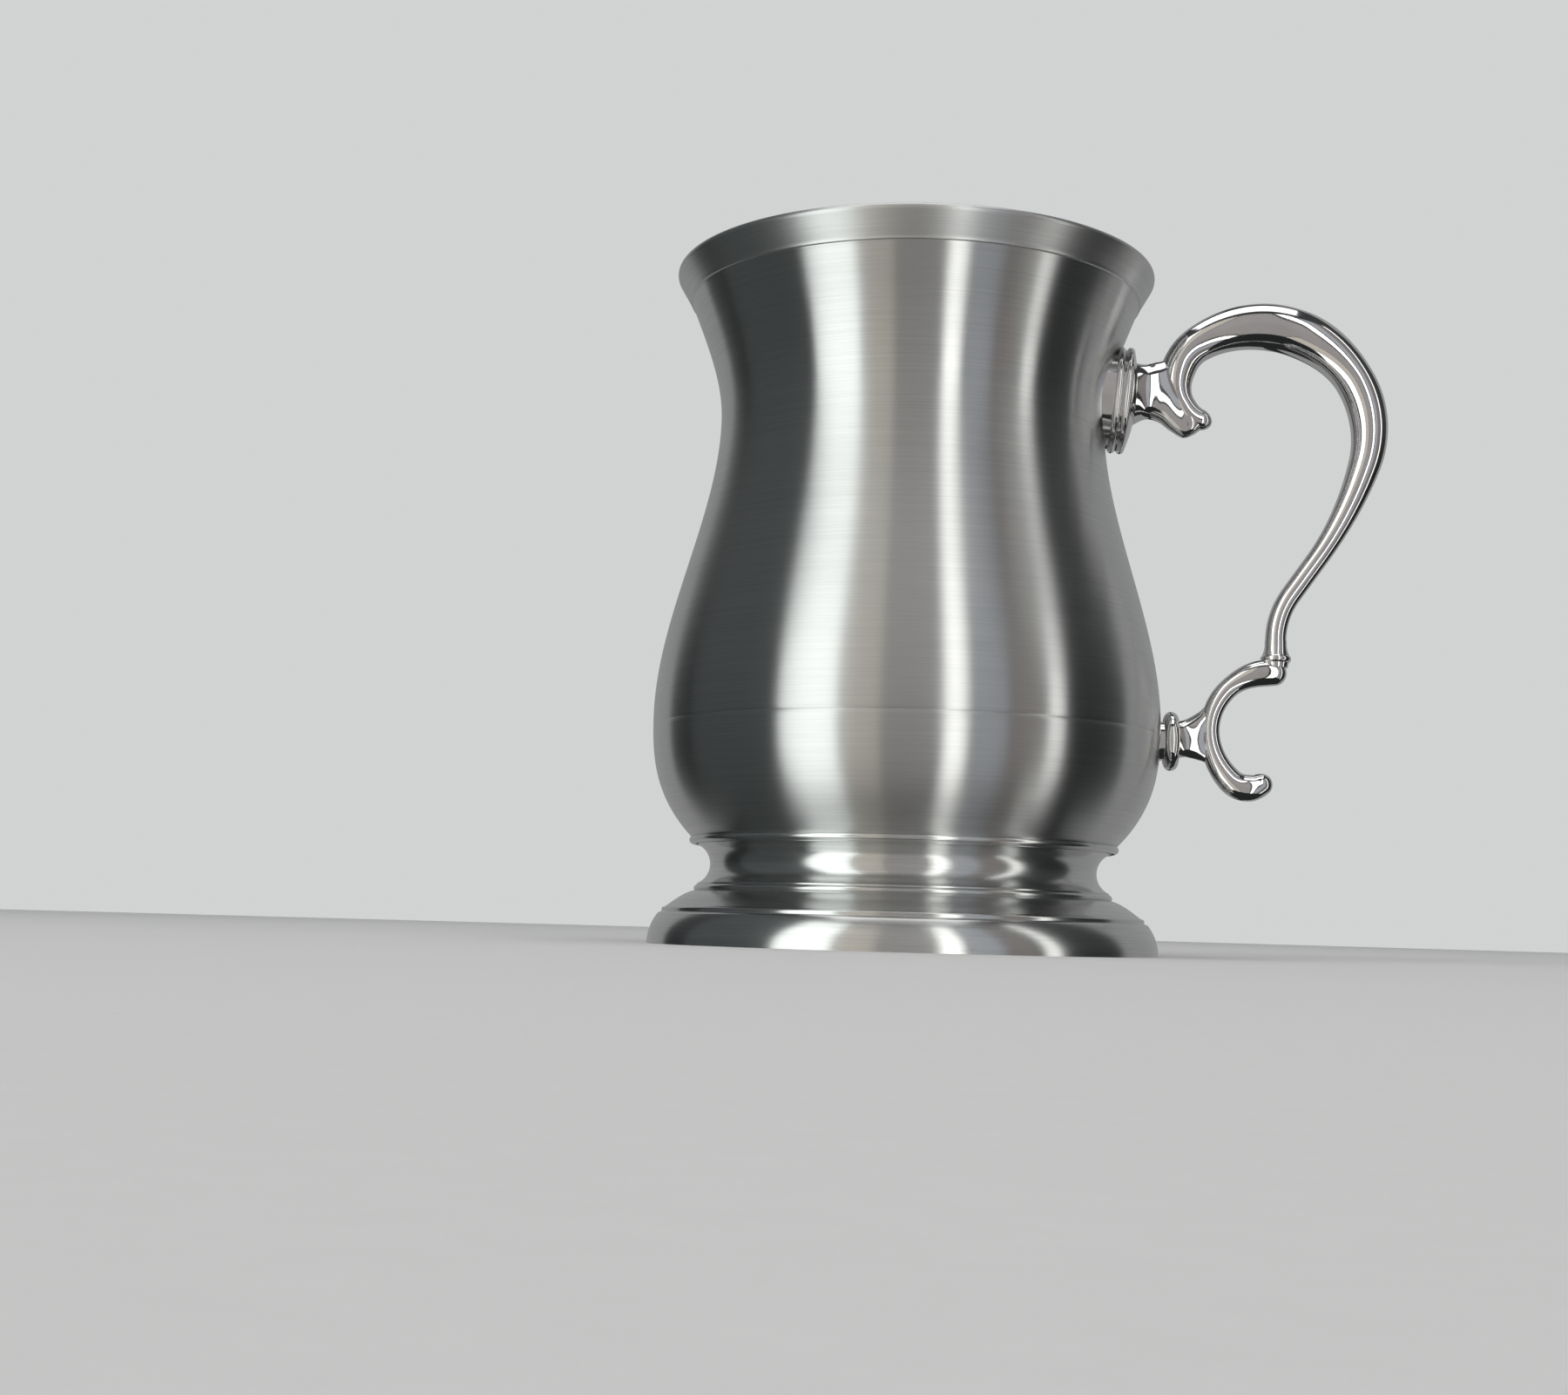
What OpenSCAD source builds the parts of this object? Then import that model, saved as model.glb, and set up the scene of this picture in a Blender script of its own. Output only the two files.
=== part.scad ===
// One-pint tulip tankard with a spun foot and a double-scroll handle.
// Millimetres, +Z up. The origin is on the bowl's axis, in the plane that the foot stands on,
// and the handle points along +X.

/* [Bowl] */
// Height from the table to the top of the lip
height = 128; // [127:0.5:131]
// Radius of the mouth, measured over the lip band
mouth_r = 45.5; // [44.8:0.1:46.2]
// Outside radius at the waist
waist_r = 36.4; // [35.8:0.1:36.9]
// Height of the waist
waist_z = 99.5; // [96:0.5:101]
// Outside radius at the belly
belly_r = 47.4; // [46.8:0.1:47.7]
// Height of the widest part of the belly
belly_z = 42; // [41:0.5:45]
// Height of the seam between the two halves of the bowl
seam_z = 40.3; // [34:0.1:48]
// Outside radius where the bowl meets its rounded floor corner
base_r = 39.9; // [39.5:0.1:40.2]
// Thickness of the spun metal
wall = 1.3; // [1:0.1:1.7]

/* [Lip band] */
// Height of the band round the mouth
lip_h = 5.8; // [5:0.1:7]
// How far the band's lower edge stands proud of the bowl
lip_proud = 0.35; // [0.2:0.05:0.6]

/* [Foot] */
// Height of the underside of the bowl's floor
floor_z = 17.8; // [17.6:0.1:18]
// Radius of the foot where it stands on the table
foot_r = 47.3; // [46.8:0.1:48]
// Height of the top of the flange
flange_z = 10; // [9.9:0.05:10.1]
// Radius of the hollow turned round the waisted ring
scotia_r = 3.95; // [3.8:0.05:4.05]
// Thickness of the waisted ring
spool_wall = 1.6; // [1.2:0.1:2]
// Thickness of the flange
flange_wall = 1.5; // [1.2:0.1:1.8]

/* [Beads] */
// Radius of the section of the bead under the bowl
body_bead_r = 0.75; // [0.6:0.05:0.9]
// Radius of the section of the bead on the flange
foot_bead_r = 0.65; // [0.5:0.05:0.8]

/* [Handle mounts] */
// Radius of the upper boss, over its two edge beads
upper_boss_r = 10.05; // [9.5:0.05:10.6]
// Height of the upper boss's centre
upper_boss_z = 104.8; // [104:0.1:105.6]
// Angle that the upper boss leans downwards, in degrees
upper_boss_tilt = 5.4; // [4:0.1:8]
// Radius of the lower boss
lower_boss_r = 5.5; // [5:0.1:6]
// Height of the lower boss's centre
lower_boss_z = 39.9; // [39.4:0.1:40.4]

/* [Handle scrolls] */
// Radius of the bend at the top of the handle, on the centre line
top_bend_r = 20.5; // [20.2:0.1:20.8]
// Radius of the upper scroll's section at its thickest, on top
scroll_thick_r = 4.45; // [4:0.05:4.8]
// Radius of the upper scroll's section at its thin lower end
scroll_thin_r = 1.95; // [1.8:0.05:2.2]
// Radius of the C-scroll's bend, on the centre line
c_bend_r = 11; // [10.8:0.1:11.2]
// Radius of the C-scroll's section at its back
c_scroll_r = 1.8; // [1.6:0.05:2]

/* [Hidden] */
$fn = 96;

satin = [0.62, 0.63, 0.62];
polished = [0.78, 0.78, 0.79];

// Bowl: the side is three cubic curves, joined where the outline is upright.
side_step = 2.4;
base_slope = 0.95;
lip_slope = 0.4;
lip_z = height - lip_h;
lip_r = mouth_r - 2.85;
bowl_top_z = height - 1;
corner_r = 7.7;
corner_angle = atan(1 / base_slope);
corner_c = [base_r - corner_r * sin(corner_angle), floor_z + corner_r];
base_z = floor_z + corner_r * (1 - cos(corner_angle));

// Lip band
lip_edge_r = 0.9;
lip_inner_r = 0.7;

// Foot
scotia_c = [39.9, 14.85];
spool_cut_r = 38.3;
spool_clear_r = 30;
bowl_core_top_z = 22;
body_bead_c = [39.2, 19.3];
foot_bead_c = [38.2, 10.35];
flange_step = [44.15, 6.75];
flange_rim_c = [44.3, 6.35];
flange_rim_r = 0.4;
flange_ledge = [44.75, 5.9];
flange_inner_r = 36.5;
flange_under_r = 43.5;
flange_edge_r = 9.2;
flange_edge_angle = 38;

// Handle mounts
boss_bead_r = 0.75;
boss_front = 4.2;
boss_dome = 1.4;
boss_groove = 1.7;
button_half = 1.35;
button_x = belly_r + 1.95;
upper_boss_x = bowl_r(upper_boss_z);

// Scrolls: each centre line starts at a point, with a heading, and is a chain of
// [bend radius, turn to the left in degrees]; a radius of 0 is a straight of the second value.
// The upper one leans out from the knuckle, sweeps back gently, turns over the top and curls
// under into its nub. The lower one runs in from the knuckle, round the C and up at its end.
upper_start = [68.5, 59];
upper_chain = [[15, -35], [0, 8], [65, 18], [top_bend_r, 140], [9, 85], [6, 65]];
lower_start = [70.5, 53];
lower_chain = [[0, 3], [c_bend_r, 90], [13, 45], [4.5, 85], [0, 1.5]];

// Section radius along each scroll, as [share of its length, radius].
upper_swell = [[0, scroll_thin_r], [0.15, scroll_thin_r], [0.5, 3.7], [0.63, scroll_thick_r],
               [0.67, scroll_thick_r], [0.86, 3.3], [0.94, 2.5], [1, 1.8]];
lower_swell = [[0, 2.2], [0.1, 2.5], [0.3, 1.9], [0.5, c_scroll_r], [0.88, 2.5], [1, 1.9]];
scroll_sides = 20;

// Knuckle: a collar with a small rounded rim, seated on the end of the lower scroll.
knuckle_z = lower_start.y + 1;
knuckle_rim_c = [2, lower_start.y + 2.6];
knuckle_rim_r = 0.8;

// Necks: sections across each stem as [x, lowest z, highest z, half width].
upper_neck_sections = [[41, 99.5, 112, 5.5], [44, 101, 111.5, 4], [46.5, 100.5, 112, 3.5],
                       [48.5, 99, 112, 3], [51, 97.5, 108, 2.2], [53, 98, 103, 2],
                       [55, 99.5, 101.5, 1]];
lower_neck_sections = [[50, 36.5, 43.5, 3.5], [52, 37, 44, 2.5], [54.5, 36.5, 45.5, 2],
                       [56, 36, 47, 1.5]];
neck_sides = 24;

// Cubic curve through (z0, r0) and (z1, r1), with the slopes m0 and m1 in radius per height.
function cubic(z, z0, r0, m0, z1, r1, m1) =
    let (h = z1 - z0, t = (z - z0) / h)
    (2 * t^3 - 3 * t^2 + 1) * r0 + (t^3 - 2 * t^2 + t) * h * m0
    + (3 * t^2 - 2 * t^3) * r1 + (t^3 - t^2) * h * m1;

// Outside radius of the bowl's side at a height.
function bowl_r(z) =
    z < belly_z ? cubic(z, base_z, base_r, base_slope, belly_z, belly_r, 0)
    : z < waist_z ? cubic(z, belly_z, belly_r, 0, waist_z, waist_r, 0)
    : z < lip_z ? cubic(z, waist_z, waist_r, 0, lip_z, lip_r, lip_slope)
    : lip_r + (z - lip_z) * lip_slope;

// Inside radius: the wall is as thick as the metal, measured square to the side.
function bowl_inner_r(z) =
    let (slope = (bowl_r(z + 0.05) - bowl_r(z - 0.05)) / 0.1)
    bowl_r(z) - wall * norm([1, slope]);

// Heights that divide a stretch of the side evenly.
function heights(z0, z1) =
    let (n = ceil((z1 - z0) / side_step))
    [for (i = [0 : n]) z0 + (z1 - z0) * i / n];

// Points on an arc.
function arc(c, r, a0, a1, n) =
    [for (i = [0 : n]) c + r * [cos(a0 + (a1 - a0) * i / n), sin(a0 + (a1 - a0) * i / n)]];

// A list in the opposite order.
function reversed(list) = [for (i = [len(list) - 1 : -1 : 0]) list[i]];

// Outline of the rounded floor corner, from the flat floor out to the side.
function corner(r) = arc(corner_c, r, -90, corner_angle - 90, 8);

// Flange top between the bead and its rim, as a height for a radius.
function flange_top(r) = cubic(r, spool_cut_r, flange_z, -0.12, flange_step.x, flange_step.y, -0.75);

// Everything inside the bowl's outer surface, up to just above the foot.
module bowl_core_2d() {
    polygon(concat([[0, floor_z]], corner(corner_r),
                   [[bowl_r(bowl_core_top_z), bowl_core_top_z], [0, bowl_core_top_z]]));
}

module upper_body() {
    outer = [for (z = heights(seam_z, bowl_top_z)) [bowl_r(z), z]];
    inner = [for (z = heights(seam_z, bowl_top_z)) [bowl_inner_r(z), z]];
    color(satin)
        rotate_extrude()
            polygon(concat(outer, reversed(inner)));
}

module lower_body() {
    inner_z = corner_c.y - (corner_r - wall) * cos(corner_angle);
    outer = [for (z = heights(base_z, seam_z)) [bowl_r(z), z]];
    inner = [for (z = heights(inner_z, seam_z)) [bowl_inner_r(z), z]];
    outer_line = concat([[0, floor_z]], corner(corner_r), [for (i = [1 : len(outer) - 1]) outer[i]]);
    inner_line = concat([[0, floor_z + wall]], corner(corner_r - wall),
                        [for (i = [1 : len(inner) - 1]) inner[i]]);
    color(satin)
        rotate_extrude()
            polygon(concat(outer_line, reversed(inner_line)));
}

module lip_band() {
    mouth_inner_r = bowl_inner_r(bowl_top_z);
    edge_c = [mouth_r - lip_edge_r, height - lip_edge_r];
    inner_c = [mouth_inner_r + lip_inner_r, height - lip_inner_r];
    color(satin)
        rotate_extrude()
            polygon(concat(
                [[bowl_r(lip_z), lip_z], [lip_r + lip_proud, lip_z + 0.05]],
                arc(edge_c, lip_edge_r, -28, 90, 8),
                arc(inner_c, lip_inner_r, 90, 180, 4),
                [[mouth_inner_r, bowl_top_z], [bowl_r(bowl_top_z), bowl_top_z]]));
}

// Section of the waisted ring: a hollow curve of constant thickness, cut off straight at its
// ends and shaped on top to the underside of the bowl.
module spool_2d() {
    difference() {
        intersection() {
            translate(scotia_c)
                circle(r = scotia_r + spool_wall);
            translate([spool_clear_r, flange_z])
                square([spool_cut_r - spool_clear_r, body_bead_c.y - flange_z]);
        }
        translate(scotia_c)
            circle(r = scotia_r);
        bowl_core_2d();
    }
}

module foot_spool() {
    color(satin)
        rotate_extrude()
            spool_2d();
}

module body_bead() {
    color(satin)
        rotate_extrude()
            difference() {
                translate(body_bead_c)
                    circle(r = body_bead_r);
                bowl_core_2d();
                translate([spool_clear_r, flange_z])
                    square([spool_cut_r - spool_clear_r, body_bead_c.y - flange_z]);
            }
}

// Section of the flange: its top, a small rounded rim, a ledge below it, and a rounded edge.
module flange_2d() {
    n = 8;
    top = [for (i = [0 : n])
        let (r = spool_cut_r + (flange_step.x - spool_cut_r) * i / n) [r, flange_top(r)]];
    rim = arc(flange_rim_c, flange_rim_r, 100, -20, 6);
    edge_c = [foot_r - flange_edge_r, 0];
    edge = arc(edge_c, flange_edge_r, flange_edge_angle, 0, 8);
    under_edge = arc(edge_c, flange_edge_r - flange_wall, 0, flange_edge_angle - 4, 6);
    under_top = [for (p = top) if (p.x < flange_under_r) p - [0, flange_wall]];
    polygon(concat([[flange_inner_r, flange_z]], top, rim, [flange_ledge], edge, under_edge,
                   reversed(under_top),
                   [[flange_inner_r, flange_z - flange_wall]]));
}

module foot_flange() {
    color(satin)
        rotate_extrude()
            flange_2d();
}

module foot_bead() {
    color(satin)
        rotate_extrude()
            difference() {
                translate(foot_bead_c)
                    circle(r = foot_bead_r);
                flange_2d();
                translate([spool_clear_r, flange_z])
                    square([spool_cut_r - spool_clear_r, body_bead_c.y - flange_z]);
            }
}

// Solid inside the outer surface of the bowl's side, for cutting the bosses to fit.
module bowl_solid() {
    side = [for (z = heights(base_z, lip_z)) [bowl_r(z), z]];
    rotate_extrude()
        polygon(concat([[0, base_z]], side, [[0, lip_z]]));
}

// Boss: a drum with two beads round its edge and a domed face.
module upper_boss_solid() {
    drum_r = upper_boss_r - boss_bead_r;
    dome_r = (drum_r^2 + boss_dome^2) / (2 * boss_dome);
    translate([upper_boss_x, 0, upper_boss_z])
        rotate([0, 90 + upper_boss_tilt, 0]) {
            translate([0, 0, -3])
                cylinder(r = drum_r, h = boss_front + 3);
            for (w = [boss_front - boss_bead_r, boss_front - boss_bead_r - boss_groove])
                translate([0, 0, w])
                    rotate_extrude()
                        translate([drum_r, 0])
                            circle(r = boss_bead_r, $fn = 32);
            intersection() {
                translate([0, 0, boss_front + boss_dome - dome_r])
                    sphere(r = dome_r);
                cylinder(r = drum_r, h = boss_front + boss_dome + 1);
            }
        }
}

module upper_boss() {
    color(polished)
        difference() {
            upper_boss_solid();
            bowl_solid();
        }
}

// Button: a thick disc with a fully round edge on a thinner stem.
module lower_boss_solid() {
    edge_r = lower_boss_r - button_half;
    translate([button_x, 0, lower_boss_z])
        rotate([0, 90, 0]) {
            rotate_extrude()
                translate([edge_r, 0])
                    circle(r = button_half, $fn = 48);
            translate([0, 0, -button_half])
                cylinder(r = edge_r, h = 2 * button_half);
            translate([0, 0, -4])
                cylinder(r = edge_r - 0.5, h = 4);
        }
}

module lower_boss() {
    color(polished)
        difference() {
            lower_boss_solid();
            bowl_solid();
        }
}

function stretch_length(s) = s[0] == 0 ? s[1] : s[0] * abs(s[1]) * PI / 180;

function chain_length(chain, i = 0) =
    i == len(chain) ? 0 : stretch_length(chain[i]) + chain_length(chain, i + 1);

// Where a centre line is after a distance d along one stretch: [x, z, heading].
function along_stretch(s, p, heading, d) =
    s[0] == 0 ? [p.x + d * cos(heading), p.y + d * sin(heading), heading]
    : let (side = sign(s[1]),
           turned = heading + side * d / s[0] * 180 / PI,
           cx = p.x - side * s[0] * sin(heading),
           cz = p.y + side * s[0] * cos(heading))
      [cx + side * s[0] * sin(turned), cz - side * s[0] * cos(turned), turned];

// Where a centre line is after a distance d along its whole chain.
function along_chain(chain, p, heading, d, i = 0) =
    let (length = stretch_length(chain[i]))
    d <= length || i == len(chain) - 1 ? along_stretch(chain[i], p, heading, d)
    : let (q = along_stretch(chain[i], p, heading, length))
      along_chain(chain, [q.x, q.y], q.z, d - length, i + 1);

// Value at t between marks [t, value], eased so that it has no corners.
function eased(marks, t, i = 0) =
    t <= marks[i + 1][0] || i == len(marks) - 2
    ? let (u = (t - marks[i][0]) / (marks[i + 1][0] - marks[i][0]))
      marks[i][1] + (marks[i + 1][1] - marks[i][1]) * (3 * u^2 - 2 * u^3)
    : eased(marks, t, i + 1);

// Solid skin over rings of points; each ring has the same number of points.
module skin(rings) {
    sides = len(rings[0]);
    last = len(rings) - 1;
    walls = [for (i = [0 : last - 1]) for (j = [0 : sides - 1])
        let (a = i * sides + j, b = i * sides + (j + 1) % sides)
        each [[a, b, b + sides], [a, b + sides, a + sides]]];
    polyhedron(points = [for (r = rings) each r],
               faces = concat(walls, [[for (j = [sides - 1 : -1 : 0]) j]],
                              [[for (j = [0 : sides - 1]) last * sides + j]]));
}

// Round bar along a centre line. round_start and round_end say which ends are rounded off.
module scroll(chain, start, heading, marks, stations, round_start, round_end) {
    total = chain_length(chain);
    cap = 1.8;
    ends = [0.02, 0.15, 0.4, 0.7];
    inner = [for (i = [0 : stations]) cap + (total - 2 * cap) * i / stations];
    places = concat(round_start ? [for (e = ends) e * cap] : [0], inner,
                    round_end ? [for (e = reversed(ends)) total - e * cap] : [total]);
    rings = [for (d = places)
        let (at = along_chain(chain, start, heading, d),
             from_start = round_start ? min(1, d / cap) : 1,
             from_end = round_end ? min(1, (total - d) / cap) : 1,
             r = eased(marks, d / total) * sqrt(1 - (1 - from_start)^2) * sqrt(1 - (1 - from_end)^2))
        [for (j = [0 : scroll_sides - 1])
            let (a = 360 * j / scroll_sides)
            [at.x - r * cos(a) * sin(at.z), r * sin(a), at.y + r * cos(a) * cos(at.z)]]];
    skin(rings);
}

module upper_scroll_bar() {
    scroll(upper_chain, upper_start, 90, upper_swell, 56, false, true);
}

module lower_scroll_bar() {
    scroll(lower_chain, lower_start, 180, lower_swell, 32, true, true);
}

// Oval stem through the sections given.
module neck(sections) {
    rings = [for (s = sections)
        [for (j = [0 : neck_sides - 1])
            let (a = 360 * j / neck_sides)
            [s[0], s[3] * sin(a), (s[1] + s[2]) / 2 + (s[2] - s[1]) / 2 * cos(a)]]];
    skin(rings);
}

module upper_scroll() {
    color(polished)
        upper_scroll_bar();
}

module lower_scroll() {
    color(polished)
        lower_scroll_bar();
}

module upper_neck() {
    color(polished)
        difference() {
            neck(upper_neck_sections);
            upper_boss_solid();
            upper_scroll_bar();
        }
}

module lower_neck() {
    color(polished)
        difference() {
            neck(lower_neck_sections);
            lower_boss_solid();
            lower_scroll_bar();
        }
}

module scroll_knuckle() {
    r = scroll_thin_r + 0.05;
    rim_top = knuckle_rim_c.y + 1.2;
    color(polished)
        difference() {
            translate([upper_start.x, 0, 0])
                rotate_extrude()
                    polygon(concat([[0, knuckle_z], [2.2, knuckle_z]],
                                   arc(knuckle_rim_c, knuckle_rim_r, -60, 60, 6),
                                   [[r + 0.3, rim_top], [r, rim_top + 1], [r, upper_start.y],
                                    [0, upper_start.y]]));
            lower_scroll_bar();
        }
}

upper_body();
lower_body();
lip_band();
body_bead();
foot_spool();
foot_bead();
foot_flange();
upper_boss();
upper_neck();
upper_scroll();
scroll_knuckle();
lower_scroll();
lower_boss();
lower_neck();
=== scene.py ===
"""Pewter tankard: smooth metal pieces, brushed and polished finishes, and a plain soft studio,
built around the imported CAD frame. Lengths are in metres, in the frame's own axes: +Z is up, the
bowl's axis is Z, and the handle points along +X."""
import math

import bmesh
import bpy
import numpy as np
from mathutils import Matrix, Vector


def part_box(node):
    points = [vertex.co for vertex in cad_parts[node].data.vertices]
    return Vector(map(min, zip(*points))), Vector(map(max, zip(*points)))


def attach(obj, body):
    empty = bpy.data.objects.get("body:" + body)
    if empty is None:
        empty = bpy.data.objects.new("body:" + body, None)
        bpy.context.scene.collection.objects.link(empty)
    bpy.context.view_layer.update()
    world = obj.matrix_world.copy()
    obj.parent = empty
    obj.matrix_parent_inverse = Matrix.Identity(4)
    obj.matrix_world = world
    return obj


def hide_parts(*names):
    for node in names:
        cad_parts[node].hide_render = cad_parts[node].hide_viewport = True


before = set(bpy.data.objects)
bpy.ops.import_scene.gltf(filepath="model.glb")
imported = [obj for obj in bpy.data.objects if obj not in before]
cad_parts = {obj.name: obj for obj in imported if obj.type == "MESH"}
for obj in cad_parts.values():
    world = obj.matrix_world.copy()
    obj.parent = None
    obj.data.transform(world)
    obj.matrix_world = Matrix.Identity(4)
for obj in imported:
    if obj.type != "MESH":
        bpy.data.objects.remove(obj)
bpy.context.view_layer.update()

MM = 0.001
BODY = "root"
TURN = 2 * math.pi
LATHE_SIDES = 240
HAIR = 0.02 * MM   # how far a smooth surface is kept inside the faceted CAD surface


# ---------------------------------------------------------------- sizes, read from the frame
LIP_LO, LIP_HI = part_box("lip_band")
UPPER_LO, UPPER_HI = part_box("upper_body")
LOWER_LO, LOWER_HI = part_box("lower_body")
FLANGE_LO, FLANGE_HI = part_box("foot_flange")
BOSS_LO, BOSS_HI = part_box("upper_boss")
BUTTON_LO, BUTTON_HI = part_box("lower_boss")

HEIGHT = LIP_HI.z
MOUTH_R = LIP_HI.y
LIP_Z = LIP_LO.z
LIP_FLARE = 2.85 * MM
LIP_R = MOUTH_R - LIP_FLARE
LIP_SLOPE = 0.4
BELLY_R = UPPER_HI.y
BELLY_Z = 42 * MM
WAIST_R = 36.4 * MM
WAIST_Z = 99.5 * MM
SEAM_Z = LOWER_HI.z
FLOOR_Z = LOWER_LO.z
WALL = 1.3 * MM
BASE_R = 39.9 * MM
BASE_SLOPE = 0.95
CORNER_R = 7.7 * MM
CORNER_ANGLE = math.atan(1 / BASE_SLOPE)
CORNER_C = (BASE_R - CORNER_R * math.sin(CORNER_ANGLE), FLOOR_Z + CORNER_R)
BASE_Z = FLOOR_Z + CORNER_R * (1 - math.cos(CORNER_ANGLE))
TOP_Z = UPPER_HI.z
SEAM_HALF = 0.12 * MM
SEAM_DEPTH = 0.06 * MM
FOOT_R = FLANGE_HI.y
FLANGE_Z = FLANGE_HI.z


# ---------------------------------------------------------------- outlines
def cubic(z, z0, r0, m0, z1, r1, m1):
    """Radius at height z on the cubic through (z0, r0) and (z1, r1) with end slopes m0, m1."""
    h = z1 - z0
    t = (z - z0) / h
    return ((2 * t**3 - 3 * t**2 + 1) * r0 + (t**3 - 2 * t**2 + t) * h * m0
            + (3 * t**2 - 2 * t**3) * r1 + (t**3 - t**2) * h * m1)


def bowl_r(z):
    """Outside radius of the bowl's side."""
    if z < BELLY_Z:
        return cubic(z, BASE_Z, BASE_R, BASE_SLOPE, BELLY_Z, BELLY_R, 0)
    if z < WAIST_Z:
        return cubic(z, BELLY_Z, BELLY_R, 0, WAIST_Z, WAIST_R, 0)
    if z < LIP_Z:
        return cubic(z, WAIST_Z, WAIST_R, 0, LIP_Z, LIP_R, LIP_SLOPE)
    return LIP_R + (z - LIP_Z) * LIP_SLOPE


def bowl_inner_r(z):
    """Inside radius, a wall's thickness in from the outside, measured square to it."""
    step = 0.05 * MM
    slope = (bowl_r(z + step) - bowl_r(z - step)) / (2 * step)
    return bowl_r(z) - WALL * math.hypot(1, slope)


def arc(centre, r, a0, a1, n):
    """Points on an arc in the (radius, height) plane; angles in degrees."""
    angles = np.radians(np.linspace(a0, a1, n + 1))
    return [(centre[0] + r * math.cos(a), centre[1] + r * math.sin(a)) for a in angles]


def corner(r, n=14):
    """The bowl's rounded floor corner, from the flat floor out to the side."""
    return arc(CORNER_C, r, -90, math.degrees(CORNER_ANGLE) - 90, n)


def rows(z0, z1, step=0.8 * MM):
    return np.linspace(z0, z1, max(2, round((z1 - z0) / step) + 1))


# ---------------------------------------------------------------- mesh building
def face_outwards(mesh):
    """Turns the front of every face outwards."""
    shell = bmesh.new()
    shell.from_mesh(mesh)
    bmesh.ops.recalc_face_normals(shell, faces=shell.faces)
    shell.to_mesh(mesh)
    shell.free()


def new_piece(name, verts, faces, slot, *nodes, sharp=40):
    """A smooth-shaded mesh that stands for CAD nodes; the slot argument is not used."""
    mesh = bpy.data.meshes.new(name)
    mesh.from_pydata([tuple(v) for v in verts], [], faces)
    mesh.validate()
    face_outwards(mesh)
    mesh.polygons.foreach_set("use_smooth", [True] * len(mesh.polygons))
    mesh.set_sharp_from_angle(angle=math.radians(sharp))
    piece = bpy.data.objects.new(name, mesh)
    bpy.context.scene.collection.objects.link(piece)
    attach(piece, BODY)
    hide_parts(*nodes)
    return piece


def lathe(outline, sides=LATHE_SIDES):
    """Vertices and faces of a closed outline of (radius, height) turned round Z. A point on the
    axis becomes one vertex."""
    verts, rings, faces = [], [], []
    for r, z in outline:
        if r < 1e-7:
            rings.append([len(verts)])
            verts.append((0, 0, z))
            continue
        rings.append(list(range(len(verts), len(verts) + sides)))
        verts += [(r * math.cos(TURN * k / sides), r * math.sin(TURN * k / sides), z)
                  for k in range(sides)]
    for a, b in zip(rings, rings[1:] + rings[:1]):
        if len(a) == 1 and len(b) == 1:
            continue
        for k in range(sides):
            n = (k + 1) % sides
            quad = [a[k % len(a)], a[n % len(a)], b[n % len(b)], b[k % len(b)]]
            faces.append(list(dict.fromkeys(quad)))
    return verts, faces


def turned(name, outline, slot, node):
    verts, faces = lathe(outline)
    return new_piece(name, verts, faces, slot, node)


def skin(rings):
    """Vertices and faces over rings of equal size, with flat ends."""
    sides = len(rings[0])
    verts = [p for ring in rings for p in ring]
    faces = []
    for i in range(len(rings) - 1):
        for j in range(sides):
            n = (j + 1) % sides
            a = i * sides
            faces.append([a + j, a + n, a + sides + n, a + sides + j])
    faces.append(list(range(sides))[::-1])
    faces.append([(len(rings) - 1) * sides + j for j in range(sides)])
    return verts, faces


# ---------------------------------------------------------------- bowl, lip, foot
def make_upper_body():
    outer = ([(bowl_r(SEAM_Z) - SEAM_DEPTH, SEAM_Z)]
             + [(bowl_r(z), z) for z in rows(SEAM_Z + SEAM_HALF, TOP_Z)])
    inner = [(bowl_inner_r(z), z) for z in rows(SEAM_Z, TOP_Z)]
    return turned("upper_body_metal", outer + inner[::-1], "satin_pewter", "upper_body")


def make_lower_body():
    inner_z = CORNER_C[1] - (CORNER_R - WALL) * math.cos(CORNER_ANGLE)
    outer = ([(0, FLOOR_Z)] + corner(CORNER_R)
             + [(bowl_r(z), z) for z in rows(BASE_Z, SEAM_Z - SEAM_HALF)[1:]]
             + [(bowl_r(SEAM_Z) - SEAM_DEPTH, SEAM_Z)])
    inner = ([(0, FLOOR_Z + WALL)] + corner(CORNER_R - WALL)
             + [(bowl_inner_r(z), z) for z in rows(inner_z, SEAM_Z)[1:]])
    return turned("lower_body_metal", outer + inner[::-1], "satin_pewter", "lower_body")


def make_lip_band():
    """Thick band round the mouth, with rounded edges at its foot, its top and inside."""
    edge_r, inner_edge_r, proud, bead_r = 0.9 * MM, 0.7 * MM, 0.35 * MM, 0.3 * MM
    mouth_inner_r = bowl_inner_r(TOP_Z)
    flank = (LIP_R + proud + 0.2 * MM, LIP_Z + 2.4 * bead_r)
    inner_c = (mouth_inner_r + inner_edge_r, HEIGHT - inner_edge_r)
    outline = ([(bowl_r(LIP_Z), LIP_Z)]
               + arc((LIP_R + proud - bead_r, LIP_Z + bead_r), bead_r, -80, 10, 8)
               + [flank]
               + arc((MOUTH_R - edge_r, HEIGHT - edge_r), edge_r, -28, 90, 14)
               + arc(inner_c, inner_edge_r, 90, 180, 10)
               + [(mouth_inner_r, TOP_Z), (bowl_r(TOP_Z), TOP_Z)])
    return turned("lip_band_metal", outline, "satin_pewter", "lip_band")


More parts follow.
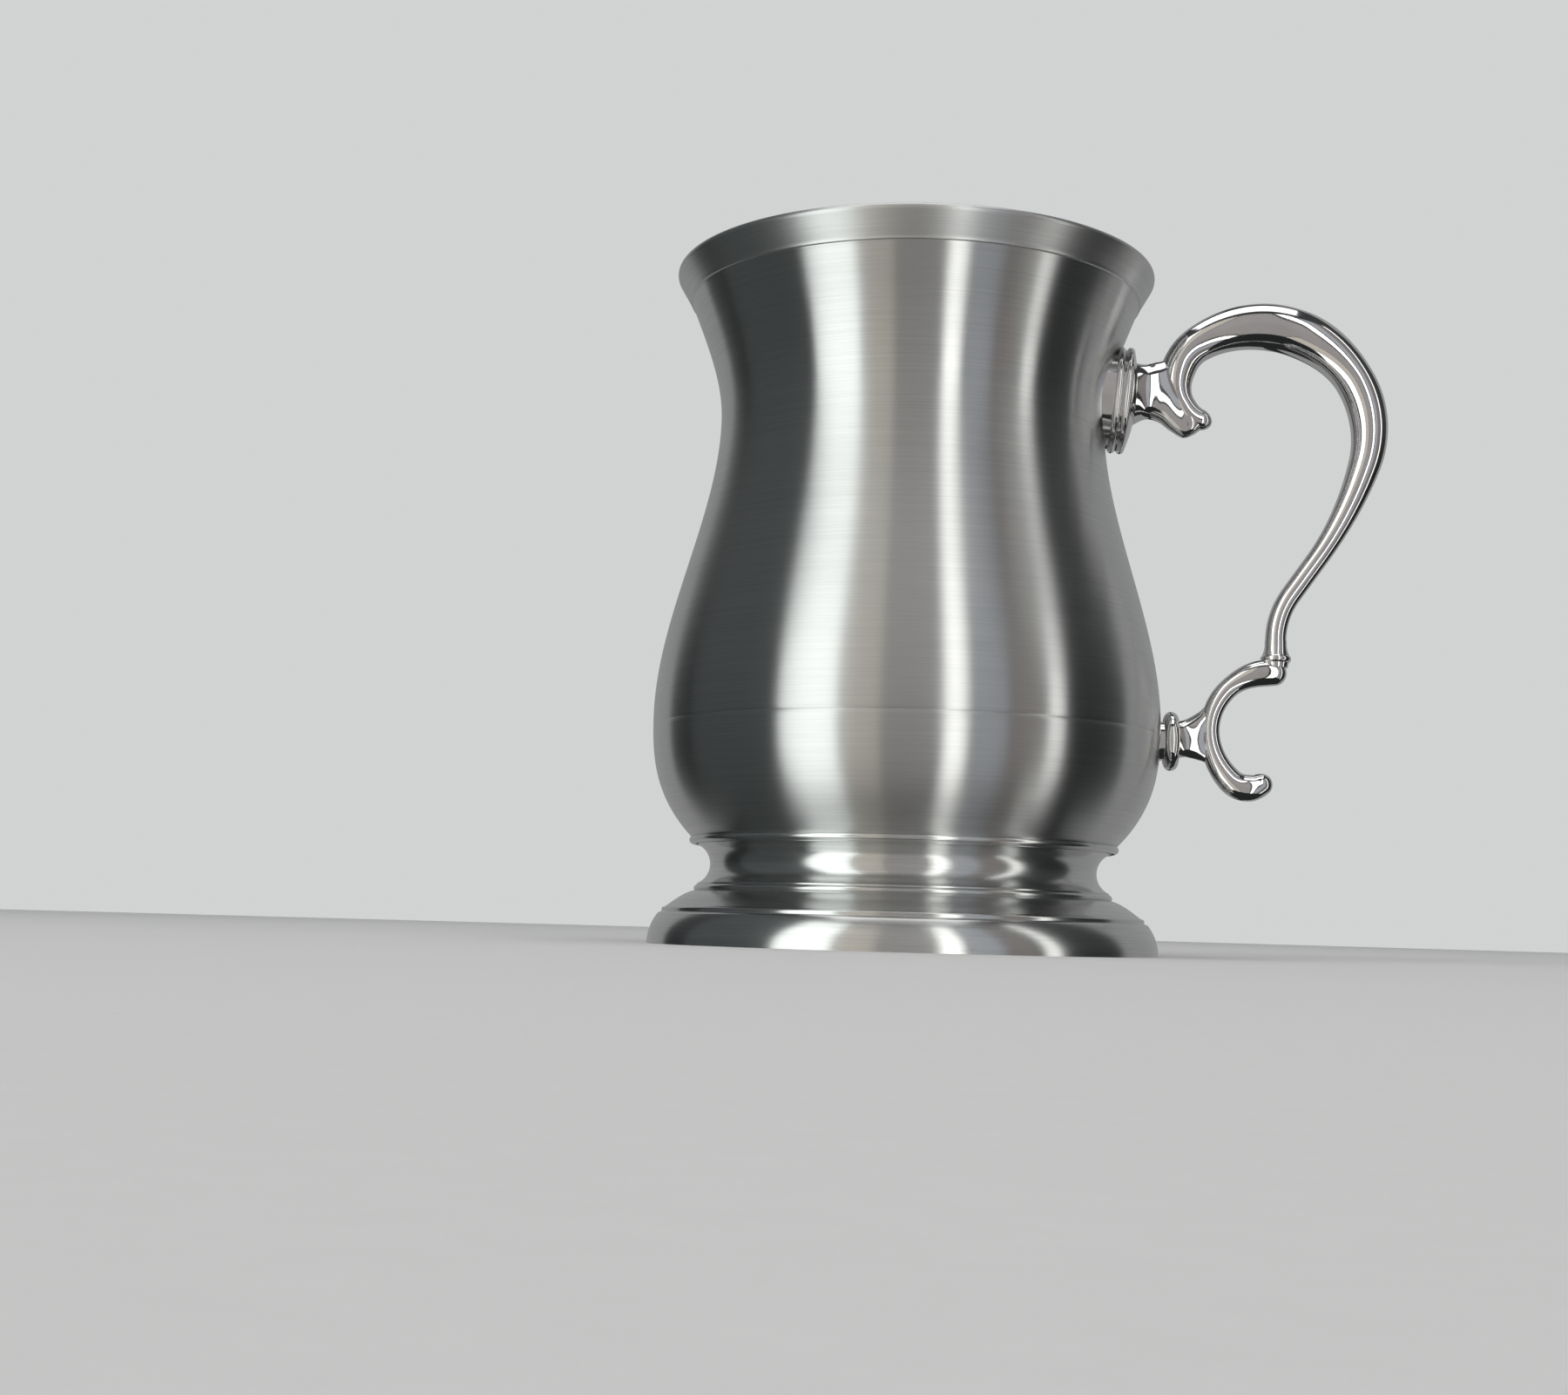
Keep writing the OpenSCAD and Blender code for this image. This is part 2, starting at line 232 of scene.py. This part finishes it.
SCOTIA_C = (39.9 * MM, 14.85 * MM)
SCOTIA_R = 3.95 * MM
SPOOL_WALL = 1.6 * MM
SPOOL_CUT_R = 38.3 * MM
SPOOL_INNER_TOP_R = 36.45 * MM
BODY_BEAD_C = (39.2 * MM, 19.3 * MM)
BODY_BEAD_R = 0.75 * MM
FOOT_BEAD_C = (38.2 * MM, 10.35 * MM)
FOOT_BEAD_R = 0.65 * MM
FLANGE_WALL = 1.5 * MM
FLANGE_INNER_R = 36.5 * MM
FLANGE_UNDER_R = 43.5 * MM
FLANGE_STEP = (44.15 * MM, 6.75 * MM)
FLANGE_SLOPES = (-0.12, -0.75)
FLANGE_RIM_C = (44.3 * MM, 6.35 * MM)
FLANGE_RIM_R = 0.4 * MM
FLANGE_LEDGE = (44.75 * MM, 5.9 * MM)
FLANGE_EDGE_R = 9.2 * MM
FLANGE_EDGE_ANGLE = 38


def corner_z(r):
    """Height of the bowl's rounded floor corner at a radius."""
    return CORNER_C[1] - math.sqrt(CORNER_R**2 - (r - CORNER_C[0])**2)


def make_foot_spool():
    """Hollow curved ring; its top follows the underside of the bowl."""
    inner_r = SCOTIA_R + SPOOL_WALL
    turn = math.degrees(math.acos((SCOTIA_C[0] - SPOOL_CUT_R) / SCOTIA_R))
    low_turn = math.degrees(math.asin((SCOTIA_C[1] - FLANGE_Z) / inner_r))
    top_turn = math.degrees(math.asin((corner_z(SPOOL_INNER_TOP_R) - SCOTIA_C[1]) / inner_r))
    outer = arc(SCOTIA_C, SCOTIA_R, 180 - turn, 180 + turn, 30)
    inner = arc(SCOTIA_C, inner_r, 180 + low_turn, 180 - top_turn, 24)
    under_bowl = [(r, corner_z(r)) for r in np.linspace(inner[-1][0], SPOOL_CUT_R, 7)[1:]]
    outline = outer + [(SPOOL_CUT_R, FLANGE_Z)] + inner + under_bowl
    return turned("foot_spool_metal", outline, "satin_pewter", "foot_spool")


def make_bead(name, node, centre, radius):
    return turned(name, arc(centre, radius, 0, 360, 28)[:-1], "satin_pewter", node)


def make_foot_flange():
    """Spreading flange: a small rounded rim and a ledge above its rounded edge."""
    edge_c = (FOOT_R - FLANGE_EDGE_R, 0)
    start_slope, end_slope = FLANGE_SLOPES
    top = [(r, cubic(r, SPOOL_CUT_R, FLANGE_Z, start_slope, *FLANGE_STEP, end_slope))
           for r in np.linspace(SPOOL_CUT_R, FLANGE_STEP[0], 22)]
    rim = arc(FLANGE_RIM_C, FLANGE_RIM_R, 100, -20, 12)
    edge = arc(edge_c, FLANGE_EDGE_R, FLANGE_EDGE_ANGLE, 0, 22)
    under_edge = arc(edge_c, FLANGE_EDGE_R - FLANGE_WALL, 0, FLANGE_EDGE_ANGLE - 4, 16)
    under_top = [(r, z - FLANGE_WALL) for r, z in top if r < FLANGE_UNDER_R]
    outline = ([(FLANGE_INNER_R, FLANGE_Z)] + top + rim + [FLANGE_LEDGE] + edge + under_edge
               + under_top[::-1] + [(FLANGE_INNER_R, FLANGE_Z - FLANGE_WALL)])
    return turned("foot_flange_metal", outline, "satin_pewter", "foot_flange")


# ---------------------------------------------------------------- handle
UPPER_BOSS_Z = 104.8 * MM
UPPER_BOSS_TILT = math.radians(5.4)
BOSS_BEAD_R = 0.75 * MM
BOSS_FRONT = 4.2 * MM
BOSS_DOME = 1.4 * MM
BOSS_GROOVE = 1.7 * MM
SEAT_DEPTH = 0.25 * MM   # how far a mount's back edge goes into the bowl's wall
BUTTON_EDGE_R = 1.35 * MM
BUTTON_STEM_IN = 0.5 * MM

# The scrolls, knuckle and necks are given in millimetres
SCROLL_CAP = 1.8
SCROLL_STEP = 0.45
THIN_R = 1.95
UPPER_START = (68.5, 59)
UPPER_CHAIN = [(15, -35), (0, 8), (65, 18), (20.5, 140), (9, 85), (6, 65)]
UPPER_SWELL = [(0, THIN_R), (0.15, THIN_R), (0.5, 3.7), (0.63, 4.45), (0.67, 4.45), (0.86, 3.3),
               (0.94, 2.5), (1, 1.8)]
LOWER_START = (70.5, 53)
LOWER_CHAIN = [(0, 3), (11, 90), (13, 45), (4.5, 85), (0, 1.5)]
LOWER_SWELL = [(0, 2.2), (0.1, 2.5), (0.3, 1.9), (0.5, 1.8), (0.88, 2.5), (1, 1.9)]


def eased(marks, t):
    """Value at t between (t, value) marks, with no corners."""
    for (t0, v0), (t1, v1) in zip(marks, marks[1:]):
        if t <= t1 or t1 == marks[-1][0]:
            u = (t - t0) / (t1 - t0)
            return v0 + (v1 - v0) * (3 * u * u - 2 * u**3)


def centre_line(chain, start, heading, step):
    """Points (x, z, heading, distance) along tangent bends, given as (radius, turn to the left)
    in degrees, or (0, length) for a straight."""
    x, z = start
    h, done = math.radians(heading), 0.0
    points = [(x, z, h, 0.0)]
    for radius, value in chain:
        length = value if radius == 0 else radius * math.radians(abs(value))
        side = 0 if radius == 0 else math.copysign(1, value)
        count = max(2, round(length / step))
        x0, z0, h0 = x, z, h
        for k in range(1, count + 1):
            d = length * k / count
            if radius == 0:
                x, z = x0 + d * math.cos(h0), z0 + d * math.sin(h0)
            else:
                h = h0 + side * d / radius
                x = x0 + side * radius * (math.sin(h) - math.sin(h0))
                z = z0 - side * radius * (math.cos(h) - math.cos(h0))
            points.append((x, z, h, done + d))
        done += length
    return points


def make_scroll(name, node, chain, start, heading, marks, round_start, sides=56):
    """Round bar along a centre line, with one or both ends rounded off."""
    cap = SCROLL_CAP
    line = centre_line(chain, start, heading, SCROLL_STEP)
    total = line[-1][3]
    fine = [cap * (1 - math.cos(a)) for a in np.linspace(0.12, math.pi / 2, 10)]
    line_d = np.array([p[3] for p in line])
    inner = [d for d in line_d if cap < d < total - cap]
    places = (fine if round_start else [0.0]) + inner + [total - d for d in fine[::-1]]
    if not round_start:
        places = sorted(set(places + [d for d in line_d if 0 < d <= cap]))
    rings = []
    for d in places:
        x, z, h = (np.interp(d, line_d, [p[i] for p in line]) for i in range(3))
        r = eased(marks, d / total)
        if round_start and d < cap:
            r *= math.sqrt(1 - (1 - d / cap)**2)
        if total - d < cap:
            r *= math.sqrt(max(0, 1 - (1 - (total - d) / cap)**2))
        r -= HAIR / MM
        rings.append([((x - r * math.cos(a) * math.sin(h)) * MM, r * math.sin(a) * MM,
                       (z + r * math.cos(a) * math.cos(h)) * MM)
                      for a in np.linspace(0, TURN, sides, endpoint=False)])
    verts, faces = skin(rings)
    return new_piece(name, verts, faces, "polished_pewter", node)


def on_bowl(point, axis):
    """Moves a point along an axis to where it meets the bowl, a little way into its wall."""
    lo, hi = -12 * MM, 3 * MM
    for _ in range(40):
        mid = (lo + hi) / 2
        p = point + axis * mid
        outside = math.hypot(p.x, p.y) > bowl_r(p.z) - SEAT_DEPTH
        lo, hi = (lo, mid) if outside else (mid, hi)
    return point + axis * hi


def mount(name, node, outline, origin, axis, sides=128):
    """A turned mount: outline is (radius, distance along axis), front to back. Its back edge
    follows the bowl."""
    across = Vector((0, 1, 0))
    up = axis.cross(across) * -1
    rings = []
    for r, w in outline:
        ring = [origin + axis * w + (up * math.cos(a) + across * math.sin(a)) * r
                for a in np.linspace(0, TURN, sides, endpoint=False)]
        rings.append(ring)
    rings.append([on_bowl(p, axis) for p in rings[-1]])
    verts, faces = skin(rings)
    return new_piece(name, verts, faces, "polished_pewter", node)


def make_upper_boss():
    axis = Vector((math.cos(UPPER_BOSS_TILT), 0, -math.sin(UPPER_BOSS_TILT)))
    origin = Vector((bowl_r(UPPER_BOSS_Z), 0, UPPER_BOSS_Z))
    drum_r = (BOSS_HI.y - BOSS_LO.y) / 2 - BOSS_BEAD_R - HAIR
    dome_r = (drum_r**2 + BOSS_DOME**2) / (2 * BOSS_DOME)
    reach = math.asin((drum_r - 0.3 * MM) / dome_r)
    dome_c = BOSS_FRONT + BOSS_DOME - dome_r
    outline = [(dome_r * math.sin(a), dome_c + dome_r * math.cos(a))
               for a in np.linspace(0.02, reach, 24)]
    front_bead = (drum_r, BOSS_FRONT - BOSS_BEAD_R)
    back_bead = (drum_r, front_bead[1] - BOSS_GROOVE)
    outline += arc(front_bead, BOSS_BEAD_R, 96, -70, 18)
    outline += arc(back_bead, BOSS_BEAD_R, 70, -90, 18)
    outline += [(drum_r, back_bead[1] - BOSS_BEAD_R - 0.05 * MM)]
    return mount("upper_boss_metal", "upper_boss", outline, origin, axis)


def make_lower_boss():
    half = (BUTTON_HI.z - BUTTON_LO.z) / 2
    edge = BUTTON_EDGE_R
    ring_r = half - edge - HAIR
    stem_r = ring_r - BUTTON_STEM_IN
    origin = Vector((BUTTON_HI.x - edge, 0, (BUTTON_HI.z + BUTTON_LO.z) / 2))
    outline = [(r * ring_r, edge) for r in (0.05, 0.3, 0.6, 0.9)]
    outline += arc((ring_r, 0), edge, 90, -80, 24)
    outline += [(stem_r, -edge), (stem_r, -edge - 0.1 * MM)]
    return mount("lower_boss_metal", "lower_boss", outline, origin, Vector((1, 0, 0)))


UPPER_NECK = [(41, 99.5, 112, 5.5), (44, 101, 111.5, 4), (46.5, 100.5, 112, 3.5),
              (48.5, 99, 112, 3), (51, 97.5, 108, 2.2), (53, 98, 103, 2), (55, 99.5, 101.5, 1)]
LOWER_NECK = [(50, 36.5, 43.5, 3.5), (52, 37, 44, 2.5), (54.5, 36.5, 45.5, 2), (56, 36, 47, 1.5)]


def smooth_between(sections, count):
    """Catmull-Rom curve through the sections."""
    p = np.array([sections[0], *sections, sections[-1]], float)
    p[0] = 2 * p[1] - p[2]
    p[-1] = 2 * p[-2] - p[-3]
    out = []
    for i in range(1, len(p) - 2):
        for t in np.linspace(0, 1, count, endpoint=False):
            out.append(0.5 * (2 * p[i] + (p[i + 1] - p[i - 1]) * t
                              + (2 * p[i - 1] - 5 * p[i] + 4 * p[i + 1] - p[i + 2]) * t**2
                              + (3 * p[i] - p[i - 1] - 3 * p[i + 1] + p[i + 2]) * t**3))
    out.append(p[-2])
    return out


def make_neck(name, node, sections, sides=64):
    rings = []
    for x, low, high, half in smooth_between(sections, 8):
        mid, tall = (low + high) / 2, (high - low) / 2
        rings.append([(x * MM, -half * math.sin(a) * MM, (mid + tall * math.cos(a)) * MM)
                      for a in np.linspace(0, TURN, sides, endpoint=False)])
    verts, faces = skin(rings)
    return new_piece(name, verts, faces, "polished_pewter", node)


def make_knuckle():
    """Collar with a small rounded rim, seated on the end of the lower scroll."""
    low, top = LOWER_START[1] + 1, UPPER_START[1]
    base_r, flare_r, r = 2.2, 2.6, THIN_R + 0.05
    rim_c, rim_r = (2, LOWER_START[1] + 2.6), 0.8
    neck_z, neck_top = rim_c[1] + 0.45, top - 0.6
    shape = ([(0, low), (base_r, low)] + arc(rim_c, rim_r, -60, 50, 10)
             + [(r + (flare_r - r) * (1 - t)**2, neck_z + t * (neck_top - neck_z))
                for t in np.linspace(0.08, 1, 10)]
             + [(r, top), (0, top)])
    verts, faces = lathe([(a * MM, b * MM) for a, b in shape], 64)
    verts = [(x + UPPER_START[0] * MM, y, z) for x, y, z in verts]
    return new_piece("scroll_knuckle_metal", verts, faces, "polished_pewter", "scroll_knuckle")


# ---------------------------------------------------------------- materials
def material(name):
    made = bpy.data.materials.new(name)
    made.use_nodes = True
    nodes, links = made.node_tree.nodes, made.node_tree.links
    return made, nodes, links, nodes["Principled BSDF"]


def noise(nodes, links, vector, scale, detail=3, rough=0.5):
    tex = nodes.new("ShaderNodeTexNoise")
    tex.inputs["Scale"].default_value = scale
    tex.inputs["Detail"].default_value = detail
    tex.inputs["Roughness"].default_value = rough
    links.new(vector, tex.inputs["Vector"])
    return tex.outputs["Fac"]


def stretched(nodes, links, scale):
    """Object coordinates, scaled differently along each axis."""
    coords = nodes.new("ShaderNodeTexCoord")
    mapping = nodes.new("ShaderNodeMapping")
    mapping.inputs["Scale"].default_value = scale
    links.new(coords.outputs["Object"], mapping.inputs["Vector"])
    return mapping.outputs["Vector"]


def spread(nodes, links, value, low, high):
    """Maps a 0 to 1 value to a range."""
    ranged = nodes.new("ShaderNodeMapRange")
    ranged.inputs["From Min"].default_value = 0.3
    ranged.inputs["From Max"].default_value = 0.7
    ranged.inputs["To Min"].default_value = low
    ranged.inputs["To Max"].default_value = high
    links.new(value, ranged.inputs["Value"])
    return ranged.outputs["Result"]


def satin_pewter(name, drawn_out, rough, line_depth):
    """Pewter brushed round the axis: fine level lines, reflections drawn out upright.
    drawn_out is the anisotropy, rough the lowest and highest roughness."""
    made, nodes, links, shader = material(name)
    shader.inputs["Metallic"].default_value = 1
    shader.inputs["Anisotropic"].default_value = drawn_out
    shader.inputs["Anisotropic Rotation"].default_value = 0.25
    tangent = nodes.new("ShaderNodeTangent")
    tangent.direction_type = "RADIAL"
    tangent.axis = "Z"
    links.new(tangent.outputs["Tangent"], shader.inputs["Tangent"])
    lines = noise(nodes, links, stretched(nodes, links, (45, 45, 5200)), 1, 4, 0.6)
    cloud = noise(nodes, links, stretched(nodes, links, (1, 1, 1)), 38, 4, 0.55)
    tint = nodes.new("ShaderNodeMix")
    tint.data_type = "RGBA"
    tint.inputs["A"].default_value = (0.57, 0.58, 0.575, 1)
    tint.inputs["B"].default_value = (0.67, 0.675, 0.665, 1)
    links.new(spread(nodes, links, lines, 0, 1), tint.inputs["Factor"])
    links.new(tint.outputs["Result"], shader.inputs["Base Color"])
    links.new(spread(nodes, links, cloud, *rough), shader.inputs["Roughness"])
    bump = nodes.new("ShaderNodeBump")
    bump.inputs["Strength"].default_value = line_depth
    bump.inputs["Distance"].default_value = 0.02 * MM
    links.new(lines, bump.inputs["Height"])
    links.new(bump.outputs["Normal"], shader.inputs["Normal"])
    return made


def polished_pewter():
    """Cast and buffed pewter: a bright mirror with a slight ripple and faint smears."""
    made, nodes, links, shader = material("polished_pewter")
    shader.inputs["Metallic"].default_value = 1
    ripple = noise(nodes, links, stretched(nodes, links, (1, 1, 1)), 130, 2, 0.4)
    smear = noise(nodes, links, stretched(nodes, links, (1, 1, 1)), 150, 4, 0.6)
    tint = nodes.new("ShaderNodeMix")
    tint.data_type = "RGBA"
    tint.inputs["A"].default_value = (0.70, 0.69, 0.69, 1)
    tint.inputs["B"].default_value = (0.78, 0.775, 0.77, 1)
    links.new(spread(nodes, links, smear, 0, 1), tint.inputs["Factor"])
    links.new(tint.outputs["Result"], shader.inputs["Base Color"])
    links.new(spread(nodes, links, smear, 0.05, 0.11), shader.inputs["Roughness"])
    bump = nodes.new("ShaderNodeBump")
    bump.inputs["Strength"].default_value = 0.05
    bump.inputs["Distance"].default_value = 0.06 * MM
    links.new(ripple, bump.inputs["Height"])
    links.new(bump.outputs["Normal"], shader.inputs["Normal"])
    return made


def paper():
    """Pale studio paper with a faint grain."""
    made, nodes, links, shader = material("studio_paper")
    grain = noise(nodes, links, stretched(nodes, links, (1, 1, 1)), 600, 3, 0.5)
    tint = nodes.new("ShaderNodeMix")
    tint.data_type = "RGBA"
    tint.inputs["A"].default_value = (0.90, 0.90, 0.90, 1)
    tint.inputs["B"].default_value = (0.93, 0.93, 0.93, 1)
    links.new(grain, tint.inputs["Factor"])
    links.new(tint.outputs["Result"], shader.inputs["Base Color"])
    shader.inputs["Roughness"].default_value = 0.9
    shader.inputs["Specular IOR Level"].default_value = 0.1
    return made


# ---------------------------------------------------------------- studio
def plane(name, half_x, half_y):
    mesh = bpy.data.meshes.new(name)
    mesh.from_pydata([(-half_x, -half_y, 0), (half_x, -half_y, 0), (half_x, half_y, 0),
                      (-half_x, half_y, 0)], [], [[0, 1, 2, 3]])
    made = bpy.data.objects.new(name, mesh)
    bpy.context.scene.collection.objects.link(made)
    return made


def make_floor():
    floor = plane("studio_floor", 2, 2)
    floor.data.materials.append(paper())
    floor.visible_glossy = False
    floor.visible_shadow = False


def aimed(obj, azimuth, distance, height, target=(0.02, 0, 0.06)):
    """Puts an object at an azimuth (0 is towards the camera, positive to its right) and turns
    it to face the tankard."""
    a = math.radians(azimuth)
    place = Vector((math.sin(a) * distance, -math.cos(a) * distance, height))
    look = Vector(target) - place
    obj.location = place
    obj.rotation_mode = "QUATERNION"
    obj.rotation_quaternion = look.to_track_quat("-Z", "Y")


def softbox(name, azimuth, spread_deg, glow, colour, low=-1.2, high=1.65, distance=1.15):
    """An upright light that covers an azimuth range as seen from the tankard. glow is how
    bright its face is."""
    width = 2 * distance * math.tan(math.radians(spread_deg / 2))
    tall = high - low
    light = bpy.data.lights.new(name, "AREA")
    light.shape = "RECTANGLE"
    light.size = width
    light.size_y = tall
    light.energy = glow * width * tall * math.pi
    light.color = colour
    made = bpy.data.objects.new(name, light)
    bpy.context.scene.collection.objects.link(made)
    middle = (low + high) / 2
    aimed(made, azimuth, distance, middle, target=(0, 0, middle))
    made.visible_camera = False
    return made


def ceiling_light(glow, size=1.3, height=1.75):
    light = bpy.data.lights.new("ceiling_softbox", "AREA")
    light.shape = "SQUARE"
    light.size = size
    light.energy = glow * size * size * math.pi
    made = bpy.data.objects.new("ceiling_softbox", light)
    bpy.context.scene.collection.objects.link(made)
    made.location = (0, 0, height)
    made.visible_camera = False
    return made


BACKDROP_R = 1.1


def make_backdrop():
    """Pale dome that only the camera sees; the metal reflects the softboxes and the dim air."""
    mesh = bpy.data.meshes.new("studio_backdrop")
    verts, faces = lathe([(BACKDROP_R * math.cos(a), BACKDROP_R * math.sin(a))
                          for a in np.linspace(-0.2, math.pi / 2 - 0.001, 24)], 48)
    mesh.from_pydata(verts, [], faces[:-48])
    made = bpy.data.objects.new("studio_backdrop", mesh)
    bpy.context.scene.collection.objects.link(made)
    look = bpy.data.materials.new("backdrop_glow")
    look.use_nodes = True
    nodes, links = look.node_tree.nodes, look.node_tree.links
    glow = nodes.new("ShaderNodeEmission")
    glow.inputs["Color"].default_value = (0.80, 0.81, 0.81, 1)
    glow.inputs["Strength"].default_value = 0.8
    links.new(glow.outputs["Emission"], nodes["Material Output"].inputs["Surface"])
    mesh.materials.append(look)
    made.visible_diffuse = False
    made.visible_glossy = False
    made.visible_shadow = False


def make_air(low, high):
    """Dim light from all round: one tone below the horizon and one above."""
    world = bpy.data.worlds.new("studio_air")
    world.use_nodes = True
    nodes, links = world.node_tree.nodes, world.node_tree.links
    coords = nodes.new("ShaderNodeTexCoord")
    split = nodes.new("ShaderNodeSeparateXYZ")
    blend = nodes.new("ShaderNodeMapRange")
    blend.inputs["From Min"].default_value = -0.1
    blend.inputs["From Max"].default_value = 0.25
    mix = nodes.new("ShaderNodeMix")
    mix.data_type = "RGBA"
    mix.inputs["A"].default_value = (*low, 1)
    mix.inputs["B"].default_value = (*high, 1)
    links.new(coords.outputs["Generated"], split.inputs["Vector"])
    links.new(split.outputs["Z"], blend.inputs["Value"])
    links.new(blend.outputs["Result"], mix.inputs["Factor"])
    links.new(mix.outputs["Result"], nodes["Background"].inputs["Color"])
    bpy.context.scene.world = world


# Upright softboxes round the tankard, with dark gaps between them:
# name, azimuth and spread in degrees, glow, colour
SOFTBOXES = [
    ("left_card", -84, 46, 0.05, (0.9, 0.97, 1)),
    ("key", -41, 27, 1.8, (0.97, 1, 0.98)),
    ("tan_card", -17, 18, 0.6, (1, 0.93, 0.83)),
    ("mauve_card", 4, 22, 0.34, (1, 0.95, 0.93)),
    ("strip_middle", 24, 10, 2.2, (1, 1, 0.97)),
    ("cool_card", 40, 15, 0.45, (0.9, 0.93, 1)),
    ("brown_card", 55, 14, 0.22, (1, 0.88, 0.84)),
    ("strip_right", 71, 8, 1.6, (1, 1, 0.97)),
    ("back_right", 145, 60, 0.3, (1, 1, 1)),
    ("back_left", -152, 50, 0.3, (1, 1, 1)),
]


def make_lights():
    make_air((0.022, 0.024, 0.024), (0.05, 0.053, 0.055))
    for name, azimuth, wide, glow, colour in SOFTBOXES:
        softbox(name, azimuth, wide, glow, colour)
    ceiling_light(1.6)
    make_backdrop()


# ---------------------------------------------------------------- camera
LENS_MM = 48.8
EYE = (16 * MM, -399 * MM, 4 * MM)
EYE_YAW, EYE_PITCH, EYE_ROLL = 5.6, 6.1, 1.6


def make_camera():
    """Level with the foot and a little to the right, looking slightly up."""
    data = bpy.data.cameras.new("camera")
    data.sensor_width = 36
    data.lens = LENS_MM
    data.clip_start = 0.01
    made = bpy.data.objects.new("camera", data)
    bpy.context.scene.collection.objects.link(made)
    made.matrix_world = (Matrix.Translation(EYE) @ Matrix.Rotation(math.radians(EYE_YAW), 4, "Z")
                         @ Matrix.Rotation(math.radians(90 + EYE_PITCH), 4, "X")
                         @ Matrix.Rotation(math.radians(EYE_ROLL), 4, "Z"))
    bpy.context.scene.camera = made


# ---------------------------------------------------------------- build
def finish_pieces(pieces, finish):
    for piece in pieces:
        piece.data.materials.append(finish)


make_camera()
BOWL = [make_upper_body(), make_lower_body()]
LIP = [make_lip_band()]
FOOT = [make_foot_spool(),
        make_bead("body_bead_metal", "body_bead", BODY_BEAD_C, BODY_BEAD_R),
        make_bead("foot_bead_metal", "foot_bead", FOOT_BEAD_C, FOOT_BEAD_R),
        make_foot_flange()]
HANDLE = [make_upper_boss(), make_lower_boss(), make_knuckle(),
          make_scroll("upper_scroll_metal", "upper_scroll", UPPER_CHAIN, UPPER_START, 90,
                      UPPER_SWELL, False),
          make_scroll("lower_scroll_metal", "lower_scroll", LOWER_CHAIN, LOWER_START, 180,
                      LOWER_SWELL, True),
          make_neck("upper_neck_metal", "upper_neck", UPPER_NECK),
          make_neck("lower_neck_metal", "lower_neck", LOWER_NECK)]
finish_pieces(BOWL, satin_pewter("satin_bowl", 1, (0.29, 0.34), 0.10))
finish_pieces(LIP, satin_pewter("satin_lip", 0.75, (0.36, 0.40), 0.08))
finish_pieces(FOOT, satin_pewter("satin_foot", 0.7, (0.20, 0.25), 0.06))
finish_pieces(HANDLE, polished_pewter())
make_floor()
make_lights()
bpy.context.scene.view_settings.view_transform = "Standard"
